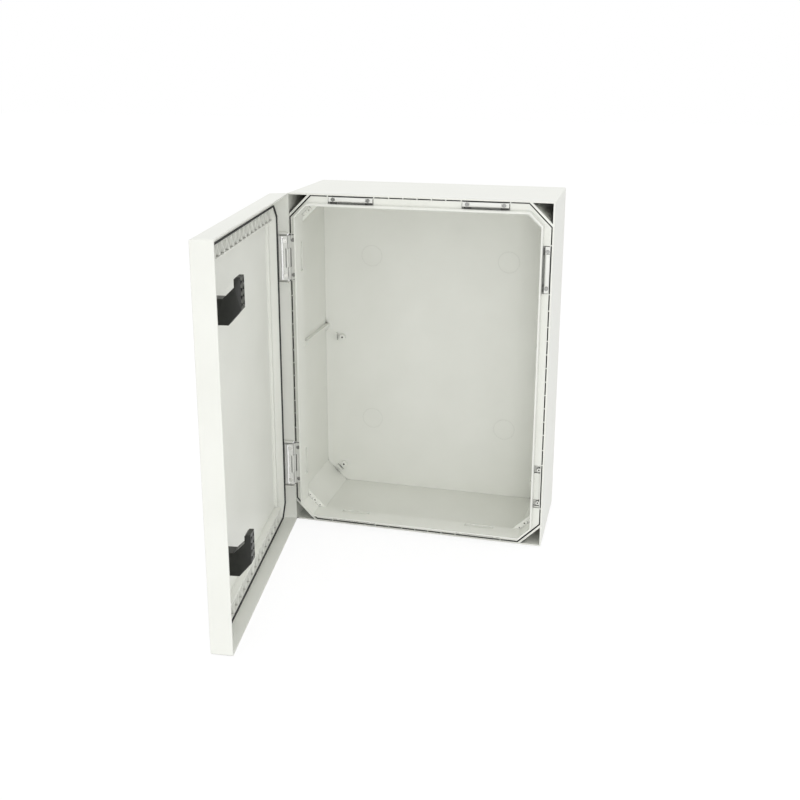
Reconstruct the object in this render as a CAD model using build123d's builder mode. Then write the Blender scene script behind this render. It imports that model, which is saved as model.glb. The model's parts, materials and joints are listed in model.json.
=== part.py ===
from build123d import *
import os
from math import sqrt

# Wall cabinet of moulded plastic: a deep body with a sealed octagonal mouth, and a hinged door with two
# quarter-turn latches. X is to the right, Y goes back into the cabinet and Z is up. The pieces are drawn
# with the body's front edge at Y = 0 and the door closed. They are then set down with the origin at the
# middle of the body's base, and the door is swung open about its hinge pins.

# Whole cabinet
cabinet_width = 600.0
cabinet_height = 800.0
cabinet_depth = 300.0
door_depth = 44.5
door_gap = 1.5
open_angle = 82.1
outer_radius = 4.0
overrun = 1.0

# Body shell: one skin, with a gutter, a band and a sealing collar round its mouth
wall = 3.5
back_wall = 4.0
back_radius = 4.0
pocket_corner = 51.0
pocket_skin = 4.7
gutter_width = 2.8
gutter_depth = 23.5
gutter_skin = 2.5
gutter_floor = 3.5
band_width = 15.5
band_corner_width = 7.3
band_setback = 2.0
band_thickness = 7.5
collar_thickness = 3.2
collar_reach = 23.0

# Thin ribs that bridge the gutter
rib_thickness = 2.2
rib_setback = 0.8
rib_pitch_wide = 32.0
rib_pitch_tall = 31.4

# Eight recesses in the band, two on each side, for strikes or hinges
recess_length = 105.0
recess_rim = 2.0
recess_depth = 2.5
recess_end_wide = 148.5
recess_end_tall = 147.5
pad_length = 16.0
pad_depth = 5.0
boss_spacing = 81.0
boss_diameter = 9.0
boss_length = 14.0
pilot_diameter = 4.1
pilot_depth = 10.0

# Windows through the mouth's inner wall, one behind each recess
window_length = 68.0
window_depth = 15.0

# Fixings inside the body
plate_boss_inset = 50.0
plate_boss_diameter = 15.0
plate_boss_height = 10.0
plate_hole_diameter = 5.0
plate_hole_depth = 9.0
fin_thickness = 3.0
fin_length = 20.0
fin_offset = 16.0
ledge_rise = 28.0
ledge_thickness = 10.0
ledge_reach = 10.0
ledge_length = 175.0
disc_inset_wide = 128.0
disc_inset_tall = 185.0
disc_diameter = 54.0
disc_line = 2.0
disc_depth = 0.6
wall_hole_diameter = 8.5
gusset_width = 12.0
gusset_thickness = 4.0
gusset_hole_inset = 5.0
gusset_hole_diameter = 5.0
gusset_hole_spacing = 17.5
gusset_dimple_diameter = 3.0
gusset_ring_diameter = 14.0
gusset_ring_height = 1.2

# Bars on a recess's bosses: the body leaves of the hinges, and the strikes with their raised middle
bar_end_gap = 1.5
bar_side_gap = 0.3
bar_width = 10.3
bar_thickness = 3.0
strike_rise = 4.0
strike_rise_length = 70.0
strike_rise_width = 8.6
strike_radius = 1.6

# Slotted screws
screw_diameter = 4.0
screw_hole_diameter = 4.4
screw_head_diameter = 8.4
screw_head_height = 2.4
screw_reach = 6.0
screw_slot_width = 1.2
screw_slot_depth = 1.0

# Door moulding, with a gasket in a raised channel
door_wall = 3.5
door_panel = 3.5
door_draft = 2.0
door_edge_radius = 2.5
channel_width = 8.4
groove_width = 3.4
groove_depth = 5.0
gasket_gap = 0.4
gasket_proud = 3.2
lattice_band = 25.5
lattice_cells = 15
lattice_height = 15.0
lattice_rib = 2.2
rail_thickness = 3.0
side_rail_inset = 62.0
side_rail_height = 6.0
lock_boss_diameter = 38.0
lock_boss_height = 2.5

# Hinges: a pin near the outer corner, a leaf on the body and a leaf on the door
hinge_pin_inset = 2.3
hinge_pin_forward = 3.3
hinge_pin_diameter = 4.0
hinge_pin_overhang = 1.0
pin_clearance = 0.05
knuckle_diameter = 7.0
knuckle_split = 44.0
knuckle_gap = 0.3
leaf_clearance = 0.3
hinge_notch_gap = 4.0
body_notch_depth = 2.5
door_leaf_inset = 9.2
door_leaf_thickness = 2.0
door_leaf_top = 5.0
door_leaf_depth = 20.0
door_bead_width = 3.0
door_bead_height = 2.2
door_bead_top = 15.6
door_slot_width = 2.4
door_slot_top = 7.6
door_boss_diameter = 7.0
door_boss_root = 6.0
door_pilot_depth = 7.5
door_screw_depth = 11.0
end_rib_thickness = 2.5
end_rib_reach = 13.5

# Quarter-turn locks
lock_inset = 84.0
lock_end = 150.0
lock_flange_diameter = 28.0
lock_flange_thickness = 2.5
lock_barrel_diameter = 22.0
lock_barrel_length = 16.0
lock_hole_clearance = 0.2
lock_nut_flats = 27.0
lock_nut_thickness = 5.0
core_diameter = 14.0
core_clearance = 0.05
core_setback = 1.0
core_square = 8.0
core_square_length = 16.0
core_square_clearance = 0.1
core_thread_depth = 12.0
key_socket_diameter = 9.0
key_pin_diameter = 5.0
key_wing_span = 12.4
key_wing_width = 3.0
key_socket_depth = 8.0

# Cranked latch arms, drawn with the arm pointing up
arm_width = 27.0
arm_seat_gap = 0.3
arm_below = 19.0
arm_above = 30.0
arm_step = 21.0
arm_end_gap = 5.2
arm_root_front = 11.0
arm_tip_gap = 1.0
arm_tip_thickness = 12.5
arm_tip_chamfer = 4.0
arm_face_low = 10.0
arm_heel = 2.0
arm_well_diameter = 14.0
arm_cell_depth = 9.0
arm_cell_rib = 2.2
arm_cells = 4
arm_screw_diameter = 5.0
arm_screw_head_diameter = 10.0
arm_screw_head_height = 3.0

# Places that follow from the sizes above
body_depth = cabinet_depth - door_depth - door_gap
half_width = cabinet_width / 2
half_height = cabinet_height / 2
gutter_inner = wall + gutter_width
band_inner = gutter_inner + gutter_skin
band_back = band_setback + band_thickness
frame_back = gutter_depth + gutter_floor
collar_outer = gutter_inner + band_width
collar_inner = collar_outer + collar_thickness
seal_inset = (collar_outer + collar_inner) / 2
skin_corner = pocket_corner + pocket_skin * sqrt(2)
seal_corner = skin_corner + (gutter_width + band_corner_width + collar_thickness / 2) * sqrt(2)
recess_width = band_width - recess_rim
recess_inset = collar_outer - recess_width / 2
recess_offset_wide = half_width - recess_end_wide
recess_offset_tall = half_height - recess_end_tall
inner_back = body_depth - back_wall
bar_length = recess_length - 2 * bar_end_gap
bar_inset = gutter_inner + bar_side_gap + bar_width / 2
bar_front = band_setback - bar_thickness
panel_front = -door_gap - door_depth
panel_back = panel_front + door_panel
gasket_top = -collar_reach - gasket_gap
channel_top = gasket_top - gasket_proud
channel_height = channel_top - panel_back
hinge_x = -half_width + hinge_pin_inset
hinge_y = -hinge_pin_forward
hinge_notch_length = bar_length + 2 * hinge_notch_gap
hinge_heights = (half_height - recess_offset_tall, half_height + recess_offset_tall)
lock_x = half_width - lock_inset
lock_heights = (lock_end, cabinet_height - lock_end)
level_names = ("lower", "upper")
corner_signs = ((-1, -1), (-1, 1), (1, -1), (1, 1))


def at_depth(y):
    """Upright plane at depth y, seen from the front, with X across and Z up."""
    return Plane.XZ.offset(-y)


def gutter_line(inset):
    """How far the corner is cut off along the gutter's inner skin."""
    return skin_corner + (inset - wall) * sqrt(2)


def seal_line(inset):
    """How far the corner is cut off along the sealing collar and the gasket."""
    return seal_corner + (inset - seal_inset) * sqrt(2)


def octagon(inset, corner, mode=Mode.ADD):
    """Outline at an even inset from the cabinet's edge, with its four corners cut off."""
    side = half_width - inset
    top = half_height - inset
    cut = corner - 2 * inset
    points = (
        (side - cut, top), (-side + cut, top), (-side, top - cut), (-side, -top + cut),
        (-side + cut, -top), (side - cut, -top), (side, -top + cut), (side, top - cut),
    )
    with Locations((0, half_height)):
        Polygon(*points, align=None, mode=mode)


def octagon_ring(middle, width):
    """Ring of an even width along the line of the seal."""
    octagon(middle - width / 2, seal_line(middle - width / 2))
    octagon(middle + width / 2, seal_line(middle + width / 2), mode=Mode.SUBTRACT)


def around_edge(inset, wide, tall):
    """Places at an inset from each side, at offsets along it, with the turn that lies along the side."""
    places = []
    for sign in (-1, 1):
        for offset in wide:
            places.append(Location((offset, half_height + sign * (half_height - inset)), 0))
        for offset in tall:
            places.append(Location((sign * (half_width - inset), half_height + offset), 90))
    return places


def both_ways(*values):
    """Each value with its opposite."""
    return [sign * value for value in values for sign in (-1, 1)]


def four_corners(x, z):
    """The four places at plus and minus x, and z above and below mid height."""
    return [(side * x, half_height + rise * z) for side, rise in corner_signs]


recess_wide = both_ways(recess_offset_wide)
recess_tall = both_ways(recess_offset_tall)
recess_places = around_edge(recess_inset, recess_wide, recess_tall)
boss_places = around_edge(bar_inset, recess_wide, recess_tall)
recess_half = (recess_length + rib_thickness) / 2
rib_room_wide = recess_offset_wide - recess_half
rib_room_tall = recess_offset_tall - recess_half
rib_count_wide = int(rib_room_wide // rib_pitch_wide) - 1
rib_count_tall = int(rib_room_tall // rib_pitch_tall) - 2
rib_wide = [step * rib_pitch_wide for step in range(-rib_count_wide, rib_count_wide + 1)]
rib_wide += both_ways(rib_room_wide, recess_offset_wide + recess_half)
rib_tall = [step * rib_pitch_tall for step in range(-rib_count_tall, rib_count_tall + 1)]
rib_last = (rib_count_tall * rib_pitch_tall + rib_room_tall) / 2
rib_tall += both_ways(rib_last, rib_room_tall, recess_offset_tall + recess_half)
rib_places = around_edge(wall + gutter_width / 2, rib_wide, rib_tall)
bar_ends = both_ways(boss_spacing / 2)

# Body
with BuildPart() as cabinet_body:
    with BuildSketch(at_depth(0)):
        with Locations((0, half_height)):
            RectangleRounded(cabinet_width, cabinet_height, outer_radius)
    extrude(amount=-body_depth)
    fillet(cabinet_body.faces().sort_by(Axis.Y)[-1].edges(), back_radius)
    # Room behind the gutter, and the mouth through the band
    with BuildSketch(at_depth(frame_back)):
        octagon(wall, skin_corner)
    extrude(amount=-(inner_back - frame_back), mode=Mode.SUBTRACT)
    with BuildSketch(at_depth(band_back)):
        octagon(band_inner, gutter_line(band_inner))
    extrude(amount=-(frame_back - band_back), mode=Mode.SUBTRACT)
    with BuildSketch(at_depth(0)):
        octagon(collar_inner, seal_line(collar_inner))
    extrude(amount=-band_back, mode=Mode.SUBTRACT)
    # The band stands back from the outer wall, with the gutter between them
    with BuildSketch(at_depth(0)):
        octagon(gutter_inner, gutter_line(gutter_inner))
    extrude(amount=-band_setback, mode=Mode.SUBTRACT)
    with BuildSketch(at_depth(0)):
        octagon(wall, skin_corner)
        octagon(gutter_inner, gutter_line(gutter_inner), mode=Mode.SUBTRACT)
    extrude(amount=-gutter_depth, mode=Mode.SUBTRACT)
    # Corner pockets outside the seal, where the wall screws go
    pocket_leg = pocket_corner - 2 * wall
    pocket_corners = four_corners(half_width - wall, half_height - wall)
    with BuildSketch(at_depth(0)):
        for (side, rise), corner in zip(corner_signs, pocket_corners):
            with Locations(corner):
                Polygon((0, 0), (-side * pocket_leg, 0), (0, -rise * pocket_leg), align=None)
    extrude(amount=-inner_back, mode=Mode.SUBTRACT)
    # Sealing collar, reaching forward into the door
    with BuildSketch(at_depth(-collar_reach)):
        octagon_ring(seal_inset, collar_thickness)
    extrude(amount=-(collar_reach + band_back))
    # Inner wall of the mouth, left open on the right for the latch arms
    with BuildSketch(at_depth(band_back)):
        octagon_ring(seal_inset, collar_thickness)
        with Locations((half_width - seal_inset, half_height)):
            Rectangle(2 * collar_thickness, cabinet_height - 2 * seal_corner, mode=Mode.SUBTRACT)
    extrude(amount=-(frame_back - band_back))
    # Ribs across the gutter
    with BuildSketch(at_depth(rib_setback)):
        with Locations(*rib_places):
            Rectangle(rib_thickness, gutter_width)
    extrude(amount=-(gutter_depth - rib_setback))
    # Recesses with their screw bosses
    with BuildSketch(at_depth(band_setback)):
        with Locations(*recess_places):
            Rectangle(recess_length, recess_width)
    extrude(amount=-recess_depth, mode=Mode.SUBTRACT)
    with BuildSketch(at_depth(band_setback)):
        with Locations(*recess_places):
            with Locations(*[(end, 0) for end in bar_ends]):
                Rectangle(pad_length, recess_width)
    extrude(amount=-pad_depth, mode=Mode.SUBTRACT)
    with BuildSketch(at_depth(band_setback)):
        with Locations(*boss_places):
            with Locations(*[(end, 0) for end in bar_ends]):
                Circle(boss_diameter / 2)
    extrude(amount=-boss_length)
    with BuildSketch(at_depth(band_setback)):
        with Locations(*boss_places):
            with Locations(*[(end, 0) for end in bar_ends]):
                Circle(pilot_diameter / 2)
    extrude(amount=-pilot_depth, mode=Mode.SUBTRACT)
    # Windows in the mouth's inner wall
    with BuildSketch(at_depth(band_back)):
        with Locations(*around_edge(seal_inset, recess_wide, recess_tall)):
            Rectangle(window_length, 2 * collar_thickness)
    extrude(amount=-window_depth, mode=Mode.SUBTRACT)
    # Notches in the outer wall for the hinges
    with BuildSketch(at_depth(0)):
        for height in hinge_heights:
            with Locations((-half_width + wall / 2, height)):
                Rectangle(wall, hinge_notch_length)
    extrude(amount=-body_notch_depth, mode=Mode.SUBTRACT)
    # Corner gussets behind the gutter, each with a ringed hole between two small ones
    gusset_corner = seal_line(collar_inner) + gusset_width * sqrt(2)
    hole_inset = (seal_line(collar_inner) + gusset_hole_inset * sqrt(2)) / 2
    ring_front = frame_back - gusset_ring_height
    gusset_holes = four_corners(half_width - hole_inset, half_height - hole_inset)
    with BuildSketch(at_depth(frame_back)):
        octagon(wall, skin_corner)
        octagon(wall, gusset_corner, mode=Mode.SUBTRACT)
    extrude(amount=-gusset_thickness)
    with BuildSketch(at_depth(ring_front)):
        with Locations(*gusset_holes):
            Circle(gusset_ring_diameter / 2)
    extrude(amount=-(gusset_ring_height + gusset_thickness))
    with BuildSketch(at_depth(ring_front)):
        with Locations(*gusset_holes):
            Circle(gusset_hole_diameter / 2)
        for (side, rise), hole in zip(corner_signs, gusset_holes):
            with Locations(Location(hole, -45 * side * rise)):
                with Locations((-gusset_hole_spacing, 0), (gusset_hole_spacing, 0)):
                    Circle(gusset_dimple_diameter / 2)
    extrude(amount=-(gusset_ring_height + gusset_thickness), mode=Mode.SUBTRACT)
    # Bosses for a mounting plate on the back wall, each with a short fin beside it
    boss_front = inner_back - plate_boss_height
    plate_boss_x = half_width - plate_boss_inset
    plate_boss_z = half_height - plate_boss_inset
    fin_slant = fin_offset / sqrt(2)
    side_bosses = [(x, half_height) for x in both_ways(plate_boss_x)]
    side_fins = [(x, half_height) for x in both_ways(plate_boss_x + fin_offset)]
    plate_bosses = four_corners(plate_boss_x, plate_boss_z) + side_bosses
    corner_fins = four_corners(plate_boss_x + fin_slant, plate_boss_z + fin_slant)
    with BuildSketch(at_depth(boss_front)):
        with Locations(*plate_bosses):
            Circle(plate_boss_diameter / 2)
        with Locations(*side_fins):
            Rectangle(fin_thickness, fin_length)
        for (side, rise), fin in zip(corner_signs, corner_fins):
            with Locations(Location(fin, -45 * side * rise)):
                Rectangle(fin_length, fin_thickness)
    extrude(amount=-(plate_boss_height + back_wall / 2))
    with BuildSketch(at_depth(boss_front)):
        with Locations(*plate_bosses):
            Circle(plate_hole_diameter / 2)
    extrude(amount=-plate_hole_depth, mode=Mode.SUBTRACT)
    # A ledge on each side wall
    ledge_x = half_width - wall - ledge_reach / 2
    with BuildSketch(at_depth(inner_back - ledge_length)):
        with Locations(*[(x, half_height + ledge_rise) for x in both_ways(ledge_x)]):
            Rectangle(ledge_reach, ledge_thickness)
    extrude(amount=-(ledge_length + back_wall / 2))
    # Moulded rings on the back wall
    with BuildSketch(at_depth(inner_back)):
        with Locations(*four_corners(half_width - disc_inset_wide, half_height - disc_inset_tall)):
            Circle(disc_diameter / 2)
            Circle(disc_diameter / 2 - disc_line, mode=Mode.SUBTRACT)
    extrude(amount=-disc_depth, mode=Mode.SUBTRACT)
    # Holes for the wall screws, at the middle of the corner pockets
    wall_hole_inset = wall + pocket_leg / (2 + sqrt(2))
    with BuildSketch(at_depth(inner_back)):
        with Locations(*four_corners(half_width - wall_hole_inset, half_height - wall_hole_inset)):
            Circle(wall_hole_diameter / 2)
    extrude(amount=-back_wall, mode=Mode.SUBTRACT)

# Strike bar, lying along X with its seat at Y = 0: a flat tab for each screw and a raised bar between them
with BuildPart() as strike_bar:
    with BuildSketch(at_depth(-bar_thickness)):
        Rectangle(bar_length, bar_width)
        with Locations(*[(end, 0) for end in bar_ends]):
            Circle(screw_hole_diameter / 2, mode=Mode.SUBTRACT)
    extrude(amount=-bar_thickness)
    with BuildSketch(at_depth(-bar_thickness)):
        with Locations((0, (bar_width - strike_rise_width) / 2)):
            Rectangle(strike_rise_length, strike_rise_width)
    extrude(amount=strike_rise)
    fillet(strike_bar.faces().sort_by(Axis.Y)[0].edges(), strike_radius)

# Slotted screw, with the underside of its head at Y = 0 and its shank along Y
with BuildPart() as bar_screw:
    with BuildSketch(at_depth(-screw_head_height)):
        Circle(screw_head_diameter / 2)
    extrude(amount=-screw_head_height)
    with BuildSketch(at_depth(-screw_head_height)):
        Rectangle(screw_head_diameter, screw_slot_width)
    extrude(amount=-screw_slot_depth, mode=Mode.SUBTRACT)
    with BuildSketch(at_depth(0)):
        Circle(screw_diameter / 2)
    extrude(amount=-(bar_thickness + screw_reach))

# Body leaf of a hinge, with its middle at Z = 0: a bar on the bosses and a knuckle at each end
leaf_x = -half_width + bar_inset
leaf_inner = leaf_x + bar_width / 2
knuckle_length = (bar_length - knuckle_split) / 2
knuckle_middle = (bar_length + knuckle_split) / 4
with BuildPart() as body_leaf:
    with BuildSketch(at_depth(bar_front)):
        with Locations((leaf_x, 0)):
            Rectangle(bar_width, bar_length)
    extrude(amount=-bar_thickness)
    for middle in both_ways(knuckle_middle):
        with BuildSketch(Plane.XY.offset(middle - knuckle_length / 2)):
            with Locations((hinge_x, hinge_y)):
                Circle(knuckle_diameter / 2)
            with Locations(((hinge_x + leaf_inner) / 2, (hinge_y + band_setback) / 2)):
                Rectangle(leaf_inner - hinge_x, band_setback - hinge_y)
            with Locations((leaf_x, (hinge_y + bar_front) / 2)):
                Rectangle(bar_width, bar_front - hinge_y, mode=Mode.SUBTRACT)
        extrude(amount=knuckle_length)
    with BuildSketch(at_depth(bar_front)):
        with Locations(*[(leaf_x, end) for end in bar_ends]):
            Circle(screw_hole_diameter / 2)
    extrude(amount=-bar_thickness, mode=Mode.SUBTRACT)
    with BuildSketch(Plane.XY.offset(-bar_length / 2)):
        with Locations((hinge_x, hinge_y)):
            Circle(hinge_pin_diameter / 2 + pin_clearance)
    extrude(amount=bar_length, mode=Mode.SUBTRACT)

# Hinge pin
pin_length = bar_length + 2 * hinge_pin_overhang
with BuildPart() as hinge_pin:
    with BuildSketch(Plane.XY.offset(-pin_length / 2)):
        with Locations((hinge_x, hinge_y)):
            Circle(hinge_pin_diameter / 2)
    extrude(amount=pin_length)

# Door leaf of a hinge: a plate on bosses of the door's rim, with a bead and one knuckle
door_leaf_outer = -half_width + door_leaf_inset
door_leaf_inner = door_leaf_outer + door_leaf_thickness
door_knuckle = knuckle_split - 2 * knuckle_gap
knuckle_front = hinge_y - knuckle_diameter / 2
with BuildPart() as door_leaf:
    with BuildSketch(Plane.XY.offset(-bar_length / 2)):
        with Locations(((door_leaf_outer + door_leaf_inner) / 2, -door_leaf_top - door_leaf_depth / 2)):
            Rectangle(door_leaf_thickness, door_leaf_depth)
        with Locations((door_leaf_inner + door_bead_height / 2, -door_bead_top - door_bead_width / 2)):
            Rectangle(door_bead_height, door_bead_width)
    extrude(amount=bar_length)
    with BuildSketch(Plane.XY.offset(-door_knuckle / 2)):
        with Locations((hinge_x, hinge_y)):
            Circle(knuckle_diameter / 2)
        with Locations(((hinge_x + door_leaf_inner) / 2, (hinge_y + knuckle_front) / 2)):
            Rectangle(door_leaf_inner - hinge_x, hinge_y - knuckle_front)
    extrude(amount=door_knuckle)
    with BuildSketch(Plane.XY.offset(-bar_length / 2)):
        with Locations((hinge_x, hinge_y)):
            Circle(hinge_pin_diameter / 2 + pin_clearance)
    extrude(amount=bar_length, mode=Mode.SUBTRACT)
    with BuildSketch(Plane.YZ.offset(door_leaf_outer)):
        with Locations(*[(-door_screw_depth, end) for end in bar_ends]):
            Circle(screw_hole_diameter / 2)
        with Locations((-door_slot_top - door_slot_width / 2, 0)):
            Rectangle(door_slot_width, knuckle_split)
    extrude(amount=door_leaf_thickness, mode=Mode.SUBTRACT)

# Door moulding
lattice_inset = seal_inset + channel_width / 2
lattice_rise = lattice_band + rail_thickness
rail_inset = lattice_inset + lattice_band
side_rail_x = half_width - side_rail_inset
lattice_pitch = 2 * side_rail_x / lattice_cells
lattice_run = sqrt((lattice_pitch / 2) ** 2 + lattice_rise ** 2)
lattice_lean = Vector(lattice_pitch / 2, lattice_rise).get_angle(Vector(1, 0))
lock_places = [(lock_x, height) for height in lock_heights]
door_screws = [(-door_screw_depth, height + end) for height in hinge_heights for end in bar_ends]
end_rib_offset = hinge_notch_length / 2 + end_rib_thickness
end_ribs = [height + offset for height in hinge_heights for offset in both_ways(end_rib_offset)]
with BuildPart() as door_shell:
    with BuildSketch(at_depth(-door_gap)):
        with Locations((0, half_height)):
            RectangleRounded(cabinet_width, cabinet_height, outer_radius)
    extrude(amount=door_depth, taper=door_draft)
    fillet(door_shell.faces().sort_by(Axis.Y)[0].edges(), door_edge_radius)
    with BuildSketch(at_depth(-door_gap)):
        with Locations((0, half_height)):
            RectangleRounded(cabinet_width - 2 * door_wall, cabinet_height - 2 * door_wall, outer_radius)
    extrude(amount=door_depth - door_panel, taper=door_draft, mode=Mode.SUBTRACT)
    # Raised channel with the gasket's groove
    with BuildSketch(at_depth(channel_top)):
        octagon_ring(seal_inset, channel_width)
    extrude(amount=channel_height + door_panel / 2)
    with BuildSketch(at_depth(channel_top)):
        octagon_ring(seal_inset, groove_width)
    extrude(amount=groove_depth, mode=Mode.SUBTRACT)
    # Triangular lattice along the top and the bottom, closed by a rail
    with BuildSketch(at_depth(panel_back + lattice_height)):
        for sign in (-1, 1):
            with Locations((0, half_height + sign * (half_height - rail_inset - rail_thickness / 2))):
                Rectangle(2 * side_rail_x + rail_thickness, rail_thickness)
            lattice_z = half_height + sign * (half_height - lattice_inset - lattice_band / 2)
            for half_cell in range(2 * lattice_cells):
                along = -side_rail_x + (half_cell + 1 / 2) * lattice_pitch / 2
                turn = sign * (-1) ** half_cell * lattice_lean
                with Locations(Location((along, lattice_z), turn)):
                    Rectangle(lattice_run, lattice_rib)
    extrude(amount=lattice_height + door_panel / 2)
    # Upright rails beside the lattice
    with BuildSketch(at_depth(panel_back + side_rail_height)):
        with Locations(*[(x, half_height) for x in both_ways(side_rail_x)]):
            Rectangle(rail_thickness, cabinet_height - 2 * rail_inset)
    extrude(amount=side_rail_height + door_panel / 2)
    # Bosses and holes for the locks
    with BuildSketch(at_depth(panel_back + lock_boss_height)):
        with Locations(*lock_places):
            Circle(lock_boss_diameter / 2)
    extrude(amount=lock_boss_height + door_panel / 2)
    with BuildSketch(at_depth(panel_back + lock_boss_height)):
        with Locations(*lock_places):
            Circle(lock_barrel_diameter / 2 + lock_hole_clearance)
    extrude(amount=lock_boss_height + door_panel, mode=Mode.SUBTRACT)
    # Bosses on the rim for the hinge leaves, a rib at each end of a leaf, and notches for the knuckles
    with BuildSketch(Plane.YZ.offset(door_leaf_outer)):
        with Locations(*door_screws):
            Circle(door_boss_diameter / 2)
    extrude(amount=-door_boss_root)
    with BuildSketch(Plane.YZ.offset(door_leaf_outer)):
        with Locations(*door_screws):
            Circle(pilot_diameter / 2)
    extrude(amount=-door_pilot_depth, mode=Mode.SUBTRACT)
    with BuildSketch(at_depth(-door_leaf_top)):
        with Locations(*[(-half_width + (door_wall + end_rib_reach) / 2, height) for height in end_ribs]):
            Rectangle(end_rib_reach - door_wall, end_rib_thickness)
    extrude(amount=-door_leaf_top - panel_back)
    with BuildSketch(at_depth(-door_gap)):
        with Locations(*[(-half_width + door_wall / 2, height) for height in hinge_heights]):
            Rectangle(door_wall + overrun, hinge_notch_length)
    extrude(amount=-knuckle_front + leaf_clearance - door_gap, mode=Mode.SUBTRACT)

# Gasket, seated in the door's groove and just clear of the collar when the door is closed
with BuildPart() as door_gasket:
    with BuildSketch(at_depth(gasket_top)):
        octagon_ring(seal_inset, groove_width)
    extrude(amount=gasket_proud + groove_depth)

# Lock pieces, drawn on the lock's own axis at X = 0, Z = 0, at their depth in the closed door
barrel_end = panel_front + lock_barrel_length
nut_front = panel_back + lock_boss_height
flange_front = panel_front - lock_flange_thickness
core_front = flange_front + core_setback
square_end = barrel_end + core_square_length
with BuildPart() as lock_barrel:
    with BuildSketch(at_depth(flange_front)):
        Circle(lock_flange_diameter / 2)
    extrude(amount=-lock_flange_thickness)
    with BuildSketch(at_depth(panel_front)):
        Circle(lock_barrel_diameter / 2)
    extrude(amount=-lock_barrel_length)
    with BuildSketch(at_depth(flange_front)):
        Circle(core_diameter / 2 + core_clearance)
    extrude(amount=-(lock_flange_thickness + lock_barrel_length), mode=Mode.SUBTRACT)

with BuildPart() as lock_nut:
    with BuildSketch(at_depth(nut_front)):
        RegularPolygon(lock_nut_flats / 2, 6, major_radius=False)
        Circle(lock_barrel_diameter / 2 + lock_hole_clearance, mode=Mode.SUBTRACT)
    extrude(amount=-lock_nut_thickness)

with BuildPart() as lock_core:
    with BuildSketch(at_depth(core_front)):
        Circle(core_diameter / 2)
    extrude(amount=-(barrel_end - core_front))
    with BuildSketch(at_depth(barrel_end)):
        Rectangle(core_square, core_square)
    extrude(amount=-core_square_length)
    with BuildSketch(at_depth(core_front)):
        Circle(key_socket_diameter / 2)
        Rectangle(key_wing_span, key_wing_width)
        Circle(key_pin_diameter / 2, mode=Mode.SUBTRACT)
    extrude(amount=-key_socket_depth, mode=Mode.SUBTRACT)
    with BuildSketch(at_depth(square_end)):
        Circle(arm_screw_diameter / 2)
    extrude(amount=core_thread_depth, mode=Mode.SUBTRACT)

# Latch arm: a cranked moulding that ends behind the band, with a truss of ribs on its inner face
arm_root_back = barrel_end + arm_seat_gap
arm_tip = lock_inset - band_inner - arm_end_gap
arm_tip_front = band_back + arm_tip_gap
arm_tip_back = arm_tip_front + arm_tip_thickness
square_hole = core_square + 2 * core_square_clearance
with BuildPart() as latch_arm:
    with BuildSketch(Plane.YZ.offset(-arm_width / 2)):
        Polygon(
            (arm_root_back, -arm_below), (-arm_heel, -arm_below), (arm_tip_back, arm_face_low),
            (arm_tip_back, arm_tip), (arm_tip_front + arm_tip_chamfer, arm_tip),
            (arm_tip_front, arm_tip - arm_tip_chamfer), (arm_tip_front, arm_above + arm_step),
            (-arm_root_front, arm_above), (arm_root_back, arm_above), align=None)
    extrude(amount=arm_width)
    # Triangular cells between zigzag ribs
    cell_edge = arm_width / 2 - arm_cell_rib
    cell_pitch = (arm_tip - arm_face_low - 2 * arm_cell_rib) / arm_cells
    with BuildSketch(at_depth(arm_tip_back)):
        for cell in range(arm_cells):
            low = arm_face_low + arm_cell_rib + cell * cell_pitch
            for side in (-1, 1):
                Polygon(
                    (side * cell_edge, low + arm_cell_rib),
                    (side * cell_edge, low + cell_pitch - arm_cell_rib),
                    (side * arm_cell_rib / 2, low + cell_pitch / 2), align=None)
    extrude(amount=arm_cell_depth, mode=Mode.SUBTRACT)
    # Well for the fixing screw, with the square hole at its foot
    with BuildSketch(at_depth(square_end)):
        Circle(arm_well_diameter / 2)
    extrude(amount=-(arm_tip_back - square_end), mode=Mode.SUBTRACT)
    with BuildSketch(at_depth(arm_root_back)):
        Rectangle(square_hole, square_hole)
    extrude(amount=-(square_end - arm_root_back), mode=Mode.SUBTRACT)

with BuildPart() as latch_screw:
    with BuildSketch(at_depth(square_end)):
        Circle(arm_screw_head_diameter / 2)
    extrude(amount=-arm_screw_head_height)
    with BuildSketch(at_depth(square_end + arm_screw_head_height)):
        RegularPolygon(arm_screw_diameter / 2, 6)
    extrude(amount=arm_screw_head_height / 2, mode=Mode.SUBTRACT)
    with BuildSketch(at_depth(square_end)):
        Circle(arm_screw_diameter / 2 - pin_clearance)
    extrude(amount=core_thread_depth)

# Everything goes to its place, and the door's pieces swing open
hinge_axis = Axis((hinge_x, hinge_y, 0), (0, 0, 1))
base_middle = Location((0, -body_depth / 2, 0))
os.makedirs("parts", exist_ok=True)


def in_place(piece, swung):
    """The piece where it belongs, swung open with the door if it is one of the door's."""
    turned = piece.rotate(hinge_axis, -open_angle) if swung else piece
    return turned.moved(base_middle)


def hand_out(name, *pieces, swung=False):
    """Put one piece, or a set of like pieces, in place and write it under its name."""
    placed = [in_place(piece, swung) for piece in pieces]
    whole = placed[0] if len(placed) == 1 else Compound(children=placed)
    whole.label = name
    export_step(whole, f"parts/{name}.step")


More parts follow.
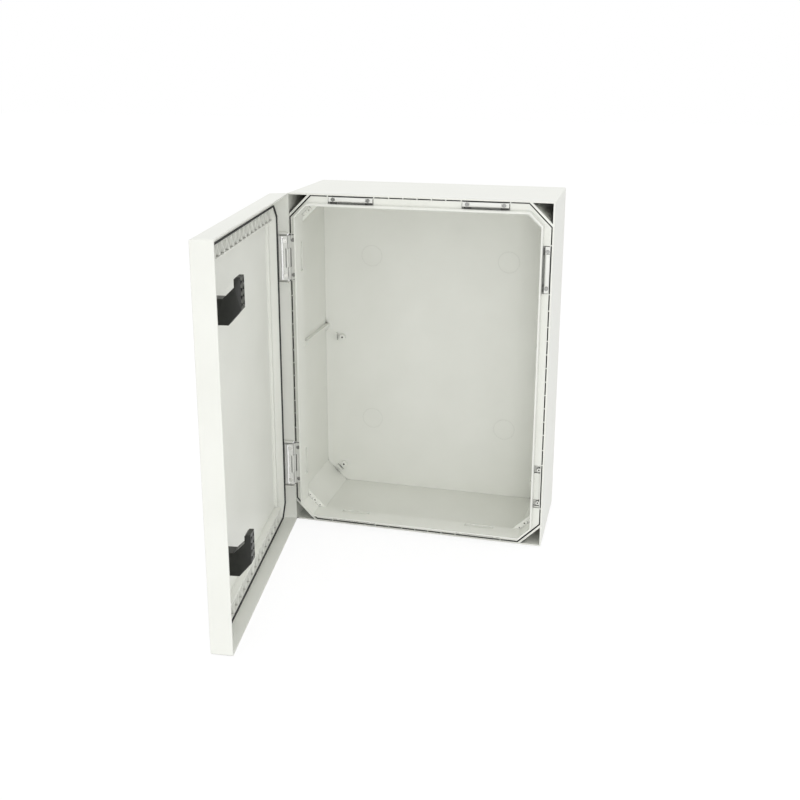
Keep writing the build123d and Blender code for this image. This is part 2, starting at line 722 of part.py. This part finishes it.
strike_top = cabinet_height - bar_inset
strike_side = half_width - bar_inset
strike_spots = {
    "top_left": Location((-recess_offset_wide, band_setback, strike_top)),
    "top_right": Location((recess_offset_wide, band_setback, strike_top)),
    "side_upper": Location((strike_side, band_setback, half_height + recess_offset_tall), (0, 90, 0)),
}
strike_screws = []
for name, spot in strike_spots.items():
    hand_out(f"strike_{name}", strike_bar.part.moved(spot))
    for end in bar_ends:
        strike_screws.append(bar_screw.part.moved(spot * Location((end, -bar_thickness, 0))))
body_leaf_screws = []
door_leaf_screws = []
for level, hinge_z, lock_z in zip(level_names, hinge_heights, lock_heights):
    hinge_spot = Location((0, 0, hinge_z))
    hand_out(f"hinge_leaf_body_{level}", body_leaf.part.moved(hinge_spot))
    hand_out(f"hinge_pin_{level}", hinge_pin.part.moved(hinge_spot))
    hand_out(f"hinge_leaf_door_{level}", door_leaf.part.moved(hinge_spot), swung=True)
    for end in bar_ends:
        body_spot = Location((leaf_x, bar_front, hinge_z + end))
        door_spot = Location((door_leaf_inner, -door_screw_depth, hinge_z + end), (0, 0, 90))
        body_leaf_screws.append(bar_screw.part.moved(body_spot))
        door_leaf_screws.append(bar_screw.part.moved(door_spot))
    lock_spot = Location((lock_x, 0, lock_z))
    hand_out(f"lock_barrel_{level}", lock_barrel.part.moved(lock_spot), swung=True)
    hand_out(f"lock_nut_{level}", lock_nut.part.moved(lock_spot), swung=True)
    hand_out(f"lock_core_{level}", lock_core.part.moved(lock_spot), swung=True)
    hand_out(f"latch_arm_{level}", latch_arm.part.moved(lock_spot), swung=True)
    hand_out(f"latch_screw_{level}", latch_screw.part.moved(lock_spot), swung=True)
hand_out("cabinet_body", cabinet_body.part)
hand_out("door_shell", door_shell.part, swung=True)
hand_out("door_gasket", door_gasket.part, swung=True)
hand_out("strike_screws", *strike_screws)
hand_out("hinge_screws_body", *body_leaf_screws)
hand_out("hinge_screws_door", *door_leaf_screws, swung=True)
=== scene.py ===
import json
from math import cos, radians, sin

import bmesh
import bpy
from mathutils import Matrix, Vector


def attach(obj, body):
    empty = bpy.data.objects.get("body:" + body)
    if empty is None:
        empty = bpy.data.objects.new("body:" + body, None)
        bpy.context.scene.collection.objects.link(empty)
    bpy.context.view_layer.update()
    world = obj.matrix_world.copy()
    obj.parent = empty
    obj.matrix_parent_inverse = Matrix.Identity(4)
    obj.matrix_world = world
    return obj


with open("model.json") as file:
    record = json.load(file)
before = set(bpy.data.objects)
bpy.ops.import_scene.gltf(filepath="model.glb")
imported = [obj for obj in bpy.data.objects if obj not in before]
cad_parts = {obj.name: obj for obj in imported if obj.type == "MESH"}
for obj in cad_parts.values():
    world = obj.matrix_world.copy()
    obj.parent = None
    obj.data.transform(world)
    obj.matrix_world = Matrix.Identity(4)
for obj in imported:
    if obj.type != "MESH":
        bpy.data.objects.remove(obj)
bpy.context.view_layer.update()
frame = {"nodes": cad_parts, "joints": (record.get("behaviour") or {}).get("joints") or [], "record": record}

# The photograph's camera: place in metres, turn in degrees, lens for a 36 mm sensor
CAMERA_PLACE = (0.4992, -2.2861, 1.1026)
CAMERA_TURN = (74.482, 0.0, 14.501)
SENSOR_MM = 36.0
FOCAL_PX = 1016.5
PICTURE_PX = 800.0
PRINCIPAL_PX = (390.6, 335.3)

# Colours, linear
SHELL_TINT = (0.855, 0.863, 0.812, 1)
SHELL_SHADE = (0.825, 0.833, 0.78, 1)
FITTING_TINT = (0.87, 0.875, 0.84, 1)
FITTING_SHADE = (0.83, 0.835, 0.80, 1)
GASKET_TINT = (0.028, 0.028, 0.028, 1)
GASKET_SHADE = (0.045, 0.045, 0.045, 1)
LATCH_TINT = (0.012, 0.013, 0.011, 1)
LATCH_SHADE = (0.019, 0.020, 0.017, 1)
STEEL_TINT = (0.44, 0.44, 0.43, 1)
STEEL_SHADE = (0.30, 0.30, 0.30, 1)
SCREW_TINT = (0.40, 0.40, 0.39, 1)
SCREW_SHADE = (0.26, 0.26, 0.255, 1)
POLISHED_TINT = (0.93, 0.93, 0.92, 1)
POLISHED_SHADE = (0.86, 0.86, 0.85, 1)
FLOOR_TINT = (0.86, 0.86, 0.86, 1)
WHITE = (1.0, 1.0, 1.0, 1)

# Scale of the tint's clouds and of the raised grain, per metre, and the grain's depth in metres
SHELL_GRAIN = (9.0, 1400.0, 0.00004)
FITTING_GRAIN = (40.0, 1800.0, 0.00003)
GASKET_GRAIN = (60.0, 1500.0, 0.0002)
LATCH_GRAIN = (60.0, 1600.0, 0.00006)
LOCK_GRAIN = (90.0, 2500.0, 0.00003)
SCREW_GRAIN = (200.0, 2500.0, 0.00003)
PIN_GRAIN = (90.0, 2500.0, 0.00002)
POLISHED_GRAIN = (120.0, 2500.0, 0.00001)
CLOUD_DETAIL = 3.0
GRAIN_DETAIL = 2.0
BUMP_STRENGTH = 0.6

# The part of a noise's values that a ramp spreads out
NOISE_RANGE = (0.3, 0.7)

# Roughness where a finish has its shade and where it has its tint
SHELL_ROUGHNESS = (0.36, 0.44)
FITTING_ROUGHNESS = (0.28, 0.36)
GASKET_ROUGHNESS = (0.7, 0.85)
LATCH_ROUGHNESS = (0.30, 0.42)
LOCK_ROUGHNESS = (0.3, 0.42)
SCREW_ROUGHNESS = (0.28, 0.42)
PIN_ROUGHNESS = (0.25, 0.35)
POLISHED_ROUGHNESS = (0.16, 0.24)
FLOOR_ROUGHNESS = 0.9

# Values of the shader's metallic input
PLASTIC = 0.0
METAL = 1.0

# Painted shade in crevices: its colour, its reach in metres, and the share of open space where it is darkest
# and where it ends
# Painted shade, near black, deep in the body's gutter, pockets and recesses
GUTTER_PAINTED_SHADE = ((0.02, 0.02, 0.018, 1), 0.018, (0.25, 0.44))
# Painted shade, faint, along inner corners and shallow grooves such as the moulded rings
LINE_PAINTED_SHADE = ((0.72, 0.73, 0.68, 1), 0.0016, (0.55, 0.95))
# Painted shade in the cells of the door's lattice
LATTICE_PAINTED_SHADE = ((0.50, 0.50, 0.47, 1), 0.012, (0.15, 0.60))
# Painted shade in the hollows of the fittings, such as under the strikes' raised bars
FITTING_PAINTED_SHADE = ((0.16, 0.16, 0.147, 1), 0.008, (0.12, 0.46))
CREVICE_SAMPLES = 8

# How far each material slot's edges are rounded, in metres, the least angle of an edge that is rounded,
# in degrees, and how close two points of the mesh are joined first, in metres
EDGE_ROUNDING = {"shell": 0.0003, "fitting": 0.0004, "gasket": 0.0008, "latch": 0.0006}
EDGE_ANGLE = 40.0
EDGE_SEGMENTS = 2
WELD_DISTANCE = 0.00001

# Nodes whose finish isn't simply that of their material slot
NODE_FINISHES = {"cabinet_body": "body", "door_shell": "door", "hinge_screws_door": "polished"}

# Bright strip on the bead of each hinge's door leaf, in metres and degrees
STRIP_WIDTH = 0.0030
STRIP_THICKNESS = 0.0020
STRIP_TURN = 22.0
STRIP_END_GAP = 0.001
STRIP_ROUNDING = 0.0004
STRIP_SEGMENTS = 3
ROUND_PROFILE = 0.5
BEAD_TOLERANCE = 0.0002

# Floor: its side in metres, its own light, and that light's share of what the camera sees
FLOOR_SIDE = 30.0
FLOOR_GLOW = 1.08
FLOOR_GLOW_SHARE = 0.8

# Where the world's light mainly comes from, its level from behind and from there,
# its level where it is seen, and the measure of facing that stands for behind
WORLD_FRONT = (0.2, -0.80, 0.42)
WORLD_LEVELS = (0.50, 1.02)
WORLD_SEEN = 1.0
FACING_AWAY = -1.0

# Lamps: place in metres, turn in degrees, width and height in metres, power in watts
LAMPS = {
    "front": ((0.3, -3.4, 0.35), (98.0, 0.0, 5.0), (2.6, 0.7), 2.0),
    "key": ((0.75, -2.4, 0.55), (88.0, 0.0, 16.0), (0.5, 0.5), 7.5),
    "top": ((0.2, 0.0, 3.2), (0.0, 0.0, 0.0), (2.5, 2.5), 13.0),
}


def new_material(name):
    """A node material and its surface shader."""
    material = bpy.data.materials.new(name)
    material.use_nodes = True
    return material, material.node_tree.nodes["Principled BSDF"]


def add_node(material, kind, **inputs):
    """A node with some of its inputs set."""
    node = material.node_tree.nodes.new(kind)
    for name, value in inputs.items():
        node.inputs[name.replace("_", " ")].default_value = value
    return node


def noise(material, scale, detail):
    """Noise in metres of the object's own frame, so that it stays put when a piece moves."""
    place = add_node(material, "ShaderNodeTexCoord")
    grain = add_node(material, "ShaderNodeTexNoise", Scale=scale, Detail=detail)
    material.node_tree.links.new(place.outputs["Object"], grain.inputs["Vector"])
    return grain.outputs["Fac"]


def ramp(material, source, from_range, to_range=(0.0, 1.0)):
    """Spread one range of values over another."""
    spread = add_node(material, "ShaderNodeMapRange", From_Min=from_range[0], From_Max=from_range[1],
                      To_Min=to_range[0], To_Max=to_range[1])
    material.node_tree.links.new(source, spread.inputs["Value"])
    return spread.outputs["Result"]


def mix_colours(material, share):
    """A node that goes from its colour A to its colour B with the share."""
    mix = add_node(material, "ShaderNodeMix")
    mix.data_type = "RGBA"
    material.node_tree.links.new(share, mix.inputs["Factor"])
    return mix


def paint_crevice_shade(material, colour, tint, reach, open_shares):
    """The colour with painted shade, going to a darker tint deep inside narrow gaps such as the gutter."""
    sky = add_node(material, "ShaderNodeAmbientOcclusion", Distance=reach)
    sky.samples = CREVICE_SAMPLES
    mix = mix_colours(material, ramp(material, sky.outputs["AO"], open_shares))
    mix.inputs["A"].default_value = tint
    material.node_tree.links.new(colour, mix.inputs["B"])
    return mix.outputs["Result"]


def finish_of(name, tint, shade, grain, roughness, metallic=PLASTIC, painted_shades=()):
    """Surface with a cloudy tint, an uneven sheen, a fine raised grain and painted shade in the given
    crevices.
    """
    material, shader = new_material(name)
    link = material.node_tree.links.new
    cloud_scale, grain_scale, depth = grain
    cloud = noise(material, cloud_scale, CLOUD_DETAIL)
    mix = mix_colours(material, ramp(material, cloud, NOISE_RANGE))
    mix.inputs["A"].default_value = shade
    mix.inputs["B"].default_value = tint
    colour = mix.outputs["Result"]
    # Painted shade: each crevice setting darkens the colour where little open space is around
    for painted_shade in painted_shades:
        colour = paint_crevice_shade(material, colour, *painted_shade)
    link(colour, shader.inputs["Base Color"])
    link(ramp(material, cloud, NOISE_RANGE, roughness), shader.inputs["Roughness"])
    bump = add_node(material, "ShaderNodeBump", Strength=BUMP_STRENGTH, Distance=depth)
    link(noise(material, grain_scale, GRAIN_DETAIL), bump.inputs["Height"])
    link(bump.outputs["Normal"], shader.inputs["Normal"])
    shader.inputs["Metallic"].default_value = metallic
    return material


# The body, door and fitting finishes carry painted shade in their crevices
FINISHES = {
    "body": finish_of("body_plastic", SHELL_TINT, SHELL_SHADE, SHELL_GRAIN, SHELL_ROUGHNESS,
                      painted_shades=(LINE_PAINTED_SHADE, GUTTER_PAINTED_SHADE)),
    "door": finish_of("door_plastic", SHELL_TINT, SHELL_SHADE, SHELL_GRAIN, SHELL_ROUGHNESS,
                      painted_shades=(LATTICE_PAINTED_SHADE,)),
    "fitting": finish_of("fitting_plastic", FITTING_TINT, FITTING_SHADE, FITTING_GRAIN, FITTING_ROUGHNESS,
                         painted_shades=(FITTING_PAINTED_SHADE,)),
    "gasket": finish_of("gasket_foam", GASKET_TINT, GASKET_SHADE, GASKET_GRAIN, GASKET_ROUGHNESS),
    "latch": finish_of("latch_nylon", LATCH_TINT, LATCH_SHADE, LATCH_GRAIN, LATCH_ROUGHNESS),
    "lock": finish_of("lock_zinc", STEEL_TINT, STEEL_SHADE, LOCK_GRAIN, LOCK_ROUGHNESS, METAL),
    "screw": finish_of("screw_steel", SCREW_TINT, SCREW_SHADE, SCREW_GRAIN, SCREW_ROUGHNESS, METAL),
    "pin": finish_of("pin_steel", STEEL_TINT, STEEL_SHADE, PIN_GRAIN, PIN_ROUGHNESS, METAL),
    "polished": finish_of("strip_steel", POLISHED_TINT, POLISHED_SHADE, POLISHED_GRAIN,
                          POLISHED_ROUGHNESS, METAL),
}


def dress(node, slot):
    """Give a CAD piece its finish, and round its moulded edges."""
    node.data.materials.clear()
    node.data.materials.append(FINISHES[NODE_FINISHES.get(node.name, slot)])
    if slot not in EDGE_ROUNDING:
        return
    weld = node.modifiers.new("weld", "WELD")
    weld.merge_threshold = WELD_DISTANCE
    bevel = node.modifiers.new("bevel", "BEVEL")
    bevel.width = EDGE_ROUNDING[slot]
    bevel.segments = EDGE_SEGMENTS
    bevel.limit_method = "ANGLE"
    bevel.angle_limit = radians(EDGE_ANGLE)
    bevel.harden_normals = True


def add_hinge_strip(name, leaf, outward):
    """Bright flat strip along the bead of a door leaf, which is its outermost edge."""
    corners = [vertex.co for vertex in frame["nodes"][leaf].data.vertices]
    reach = max(corner.dot(outward) for corner in corners)
    bead = [corner for corner in corners if reach - corner.dot(outward) < BEAD_TOLERANCE]
    middle = sum(bead, Vector()) / len(bead)
    low = min(corner.z for corner in bead) + STRIP_END_GAP
    high = max(corner.z for corner in bead) - STRIP_END_GAP
    up = Vector((0, 0, 1))
    facing = Matrix.Rotation(radians(STRIP_TURN), 3, up) @ outward
    turn = Matrix((facing, up.cross(facing), up)).transposed().to_4x4()
    place = Matrix.Translation((middle.x, middle.y, (low + high) / 2))
    size = Matrix.Diagonal((STRIP_THICKNESS, STRIP_WIDTH, high - low, 1))
    shape = bmesh.new()
    bmesh.ops.create_cube(shape, size=1.0, matrix=place @ turn @ size)
    bmesh.ops.bevel(shape, geom=shape.edges[:], offset=STRIP_ROUNDING, segments=STRIP_SEGMENTS,
                    affect="EDGES", profile=ROUND_PROFILE)
    mesh = bpy.data.meshes.new(name)
    shape.to_mesh(mesh)
    shape.free()
    mesh.materials.append(FINISHES["polished"])
    strip = bpy.data.objects.new(name, mesh)
    bpy.context.scene.collection.objects.link(strip)
    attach(strip, "door")


def background_rays(tree):
    """1 for a ray that should see a white background: from the camera, off metal or through glass."""
    path = tree.nodes.new("ShaderNodeLightPath")
    share = path.outputs["Is Camera Ray"]
    for kind in ("Is Glossy Ray", "Is Transmission Ray"):
        either = tree.nodes.new("ShaderNodeMath")
        either.operation = "MAXIMUM"
        tree.links.new(share, either.inputs[0])
        tree.links.new(path.outputs[kind], either.inputs[1])
        share = either.outputs["Value"]
    return share


def add_floor():
    """Pale floor, almost white to the camera but still holding the cabinet's shadow."""
    bpy.ops.mesh.primitive_plane_add(size=FLOOR_SIDE)
    floor = bpy.context.object
    floor.name = "floor"
    material, shader = new_material("floor_pale")
    shader.inputs["Base Color"].default_value = FLOOR_TINT
    shader.inputs["Roughness"].default_value = FLOOR_ROUGHNESS
    link = material.node_tree.links.new
    glow = add_node(material, "ShaderNodeEmission", Color=WHITE, Strength=FLOOR_GLOW)
    share = add_node(material, "ShaderNodeMath")
    share.operation = "MULTIPLY"
    share.inputs[1].default_value = FLOOR_GLOW_SHARE
    mix = add_node(material, "ShaderNodeMixShader")
    link(background_rays(material.node_tree), share.inputs[0])
    link(share.outputs["Value"], mix.inputs["Fac"])
    link(shader.outputs["BSDF"], mix.inputs[1])
    link(glow.outputs["Emission"], mix.inputs[2])
    link(mix.outputs["Shader"], material.node_tree.nodes["Material Output"].inputs["Surface"])
    floor.data.materials.append(material)


def add_world():
    """White where it is seen. As a light it is stronger from the front and above than from behind."""
    world = bpy.data.worlds.new("studio")
    bpy.context.scene.world = world
    world.use_nodes = True
    nodes = world.node_tree.nodes
    link = world.node_tree.links.new
    place = nodes.new("ShaderNodeTexCoord")
    facing = nodes.new("ShaderNodeVectorMath")
    facing.operation = "DOT_PRODUCT"
    facing.inputs[1].default_value = WORLD_FRONT
    level = nodes.new("ShaderNodeMapRange")
    level.inputs["From Min"].default_value = FACING_AWAY
    level.inputs["To Min"].default_value = WORLD_LEVELS[0]
    level.inputs["To Max"].default_value = WORLD_LEVELS[1]
    link(place.outputs["Generated"], facing.inputs[0])
    link(facing.outputs["Value"], level.inputs["Value"])
    light = nodes["Background"]
    light.inputs["Color"].default_value = WHITE
    link(level.outputs["Result"], light.inputs["Strength"])
    seen = nodes.new("ShaderNodeBackground")
    seen.inputs["Color"].default_value = WHITE
    seen.inputs["Strength"].default_value = WORLD_SEEN
    mix = nodes.new("ShaderNodeMixShader")
    link(background_rays(world.node_tree), mix.inputs["Fac"])
    link(light.outputs["Background"], mix.inputs[1])
    link(seen.outputs["Background"], mix.inputs[2])
    link(mix.outputs["Shader"], nodes["World Output"].inputs["Surface"])


def add_lamp(name, place, turn, size, power):
    """A soft rectangular lamp."""
    lamp = bpy.data.lights.new(name, "AREA")
    lamp.shape = "RECTANGLE"
    lamp.size, lamp.size_y = size
    lamp.energy = power
    holder = bpy.data.objects.new(name, lamp)
    holder.location = place
    holder.rotation_euler = [radians(angle) for angle in turn]
    bpy.context.scene.collection.objects.link(holder)


def add_camera():
    """Camera solved from the photograph's edges."""
    camera = bpy.data.cameras.new("camera")
    camera.sensor_width = SENSOR_MM
    camera.lens = FOCAL_PX / PICTURE_PX * SENSOR_MM
    camera.shift_x = 0.5 - PRINCIPAL_PX[0] / PICTURE_PX
    camera.shift_y = PRINCIPAL_PX[1] / PICTURE_PX - 0.5
    holder = bpy.data.objects.new("camera", camera)
    holder.location = CAMERA_PLACE
    holder.rotation_euler = [radians(angle) for angle in CAMERA_TURN]
    bpy.context.scene.collection.objects.link(holder)
    bpy.context.scene.camera = holder


for part in frame["record"]["subparts"]:
    dress(frame["nodes"][part["node"]], part["material_slot"])
hinge = next(joint for joint in frame["joints"] if joint["name"] == "door_hinge")
door_open = radians(hinge["range_deg"][1])
bead_outward = Vector((cos(door_open), -sin(door_open), 0))
for level in ("lower", "upper"):
    add_hinge_strip(f"hinge_strip_{level}", f"hinge_leaf_door_{level}", bead_outward)
add_floor()
add_world()
for name, settings in LAMPS.items():
    add_lamp(name, *settings)
add_camera()
bpy.context.scene.view_settings.view_transform = "Standard"
